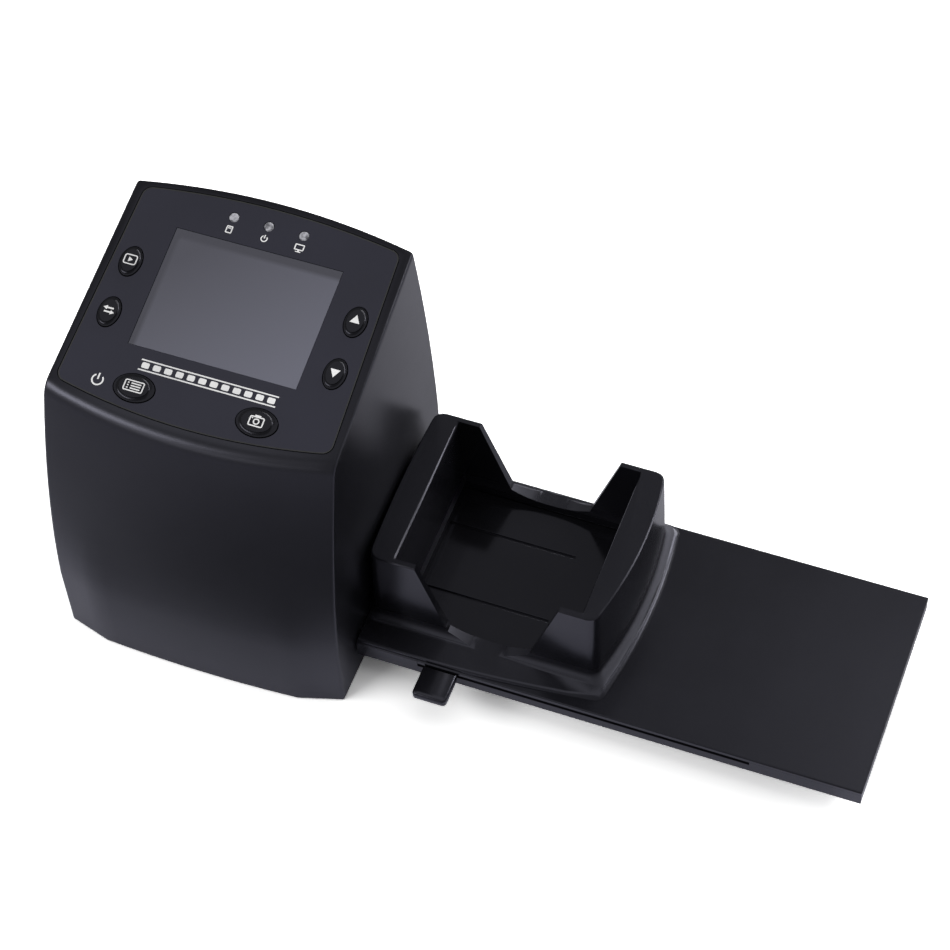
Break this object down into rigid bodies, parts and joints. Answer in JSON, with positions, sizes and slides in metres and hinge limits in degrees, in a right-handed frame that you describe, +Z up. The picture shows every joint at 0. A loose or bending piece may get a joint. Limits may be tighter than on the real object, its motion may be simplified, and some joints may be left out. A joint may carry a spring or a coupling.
{
  "type": "film negative scanner",
  "caption": "Black desktop film and slide scanner with a sloping display panel, oval buttons and a long slide feeder with a stacking hopper and pusher.",
  "frame": {"origin": "bottom centre of the whole outline, on the plane the rubber feet stand on", "axes": "+X along the feeder away from the housing, +Y to the back where the sockets are, +Z up"},
  "size_m": [0.2382, 0.091, 0.1148],
  "materials": {
    "shell": "satin black",
    "panel": "satin black",
    "button": "semi-gloss black",
    "window": "clear",
    "lamp": "milky",
    "board": "green laminate",
    "metal": "plain",
    "foot": "matt"
  },
  "bodies": {
    "scanner": {"housing": "shell", "control_panel": "panel", "display_window": "window", "display_module": "metal", "indicator_lights": "lamp", "control_board": "board", "tact_switches": "metal", "board_screws": "metal", "main_board": "board", "card_socket": "metal", "usb_socket": "metal", "sensor_board": "board", "image_sensor": "window", "lens_barrel": "shell", "lens_glass": "window", "optical_frame": "shell", "frame_screws": "metal", "diffuser": "lamp", "backlight_board": "board", "base_plate": "shell", "base_screws": "metal", "rubber_feet": "foot"},
    "play_button": {"play_button": "button"},
    "flip_button": {"flip_button": "button"},
    "up_button": {"up_button": "button"},
    "down_button": {"down_button": "button"},
    "menu_button": {"menu_button": "button"},
    "capture_button": {"capture_button": "button"},
    "feeder": {"feeder_cover": "shell", "feeder_base": "shell", "feeder_screws": "metal"},
    "pusher": {"pusher_plate": "panel", "pusher_tab": "shell"}
  },
  "joints": [
    {"name": "play_button_press", "type": "slide", "parent": "scanner", "child": "play_button", "axis": [0, 0.2419, -0.9703], "range_m": [0, 0.0005], "stiffness_N_per_m": 300},
    {"name": "flip_button_press", "type": "slide", "parent": "scanner", "child": "flip_button", "axis": [0, 0.2419, -0.9703], "range_m": [0, 0.0005], "stiffness_N_per_m": 300},
    {"name": "up_button_press", "type": "slide", "parent": "scanner", "child": "up_button", "axis": [0, 0.2419, -0.9703], "range_m": [0, 0.0005], "stiffness_N_per_m": 300},
    {"name": "down_button_press", "type": "slide", "parent": "scanner", "child": "down_button", "axis": [0, 0.2419, -0.9703], "range_m": [0, 0.0005], "stiffness_N_per_m": 300},
    {"name": "menu_button_press", "type": "slide", "parent": "scanner", "child": "menu_button", "axis": [0, 0.2419, -0.9703], "range_m": [0, 0.0005], "stiffness_N_per_m": 300},
    {"name": "capture_button_press", "type": "slide", "parent": "scanner", "child": "capture_button", "axis": [0, 0.2419, -0.9703], "range_m": [0, 0.0005], "stiffness_N_per_m": 300},
    {"name": "feeder_draw", "type": "slide", "parent": "scanner", "child": "feeder", "axis": [1, 0, 0], "range_m": [0, 0.06]},
    {"name": "pusher_slide", "type": "slide", "parent": "feeder", "child": "pusher", "axis": [1, 0, 0], "range_m": [0, 0.085]}
  ]
}
